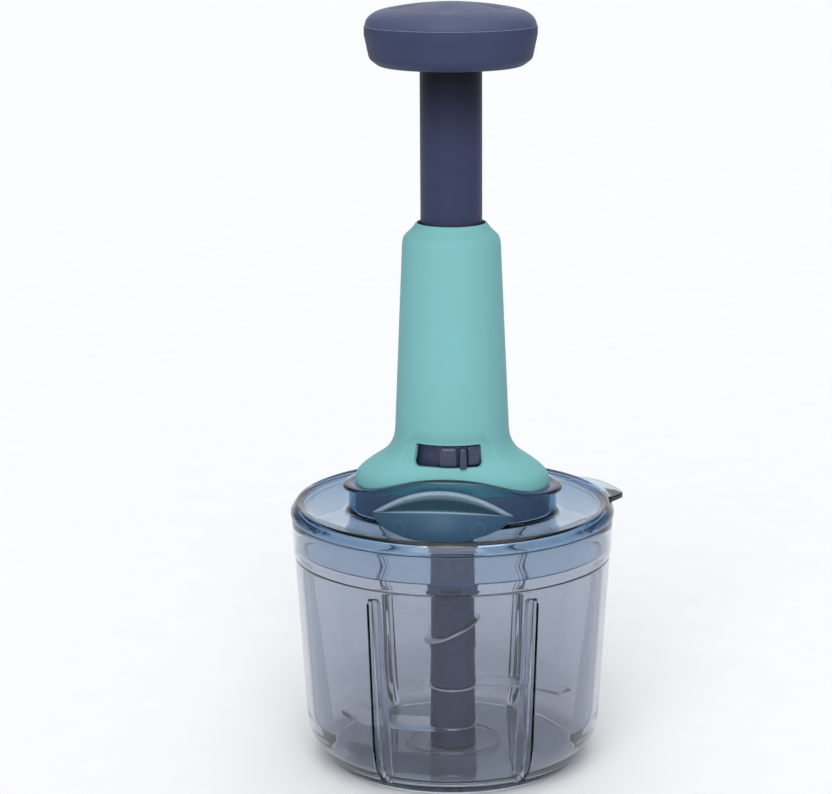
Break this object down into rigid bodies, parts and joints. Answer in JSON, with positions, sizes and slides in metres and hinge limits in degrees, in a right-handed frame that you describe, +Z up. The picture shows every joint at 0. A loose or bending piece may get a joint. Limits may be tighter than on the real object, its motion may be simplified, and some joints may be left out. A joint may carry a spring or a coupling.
{
  "type": "plunger food chopper",
  "caption": "Press-down food chopper: clear bowl and lid, stacked steel blades on a hub, flared drive housing with a slide lock, and a sprung plunger with a round knob.",
  "frame": {"origin": "centre of the anti-slip foot's resting face", "axes": "+Z up along the plunger, front with the lock slider and thumb ledge towards -Y, +X to the right seen from the front"},
  "size_m": [0.1543, 0.15, 0.3518],
  "materials": {
    "bowl_clear": "clear moulded plastic with a faint smoky tint",
    "foot_rubber": "soft grey",
    "steel": "plain screw steel",
    "hub_slate": "dark slate, soft gloss",
    "blade_steel": "polished with a ground edge",
    "lid_clear": "clear moulded plastic with a cool tint",
    "mint_plastic": "mint, soft gloss",
    "inner_plastic": "plain",
    "guide_dark": "dark, matt",
    "driver_plastic": "dark slate, soft gloss",
    "drive_white": "slippery white",
    "spring_steel": "drawn wire",
    "navy_plastic": "navy, soft gloss",
    "navy_gloss": "navy, glossy",
    "slider_navy": "navy, glossy"
  },
  "bodies": {
    "bowl": {"bowl": "bowl_clear", "anti_slip_foot": "foot_rubber", "pivot_pin": "steel"},
    "blade_set": {"hub_base": "hub_slate", "lower_spacer": "hub_slate", "middle_spacer": "hub_slate", "upper_spacer": "hub_slate", "hub_head": "hub_slate", "lower_blade": "blade_steel", "middle_blade": "blade_steel", "upper_blade": "blade_steel"},
    "lid": {"lid": "lid_clear"},
    "drive_unit": {"housing": "mint_plastic", "guide_bush": "inner_plastic", "base_tray": "inner_plastic", "output_sleeve": "inner_plastic", "thrust_washer": "inner_plastic", "bearing_plate": "inner_plastic", "plate_screws": "steel", "housing_screws": "steel", "lock_guide": "guide_dark", "return_spring": "spring_steel"},
    "output": {"output_shaft": "driver_plastic", "drive_dog": "driver_plastic", "dog_screw": "steel", "pawl_ring": "inner_plastic"},
    "drive_screw": {"drive_screw": "drive_white", "spring_seat": "inner_plastic"},
    "plunger": {"drive_nut": "drive_white", "plunger_tube": "navy_plastic", "knob_cup": "navy_plastic", "knob_cover": "navy_gloss", "knob_screw": "steel"},
    "lock_slider": {"lock_slider": "slider_navy"}
  },
  "joints": [
    {"name": "lid_lift", "type": "slide", "parent": "bowl", "child": "lid", "axis": [0, 0, 1], "range_m": [0, 0.15]},
    {"name": "drive_unit_lift", "type": "slide", "parent": "lid", "child": "drive_unit", "axis": [0, 0, 1], "range_m": [0, 0.05]},
    {"name": "plunger_press", "type": "slide", "parent": "drive_unit", "child": "plunger", "axis": [0, 0, -1], "range_m": [0, 0.06], "stiffness_N_per_m": 120, "springref_m": -0.03, "deforming": ["return_spring"]},
    {"name": "drive_screw_turn", "type": "hinge", "parent": "drive_unit", "child": "drive_screw", "pos_m": [0, 0, 0.133], "axis": [0, 0, 1], "range_deg": [0, 541]},
    {"name": "output_turn", "type": "hinge", "parent": "drive_unit", "child": "output", "pos_m": [0, 0, 0.12], "axis": [0, 0, 1], "range_deg": [0, 541]},
    {"name": "blade_set_turn", "type": "hinge", "parent": "bowl", "child": "blade_set", "pos_m": [0, 0, 0.02], "axis": [0, 0, 1], "range_deg": [0, 541]},
    {"name": "lock_turn", "type": "hinge", "parent": "drive_unit", "child": "lock_slider", "pos_m": [0, 0, 0.155], "axis": [0, 0, -1], "range_deg": [0, 26]}
  ],
  "couplings": [
    {"joint": "drive_screw_turn", "follows": "plunger_press", "rad_per_m": 157.08},
    {"joint": "output_turn", "follows": "plunger_press", "rad_per_m": 157.08},
    {"joint": "blade_set_turn", "follows": "plunger_press", "rad_per_m": 157.08}
  ]
}
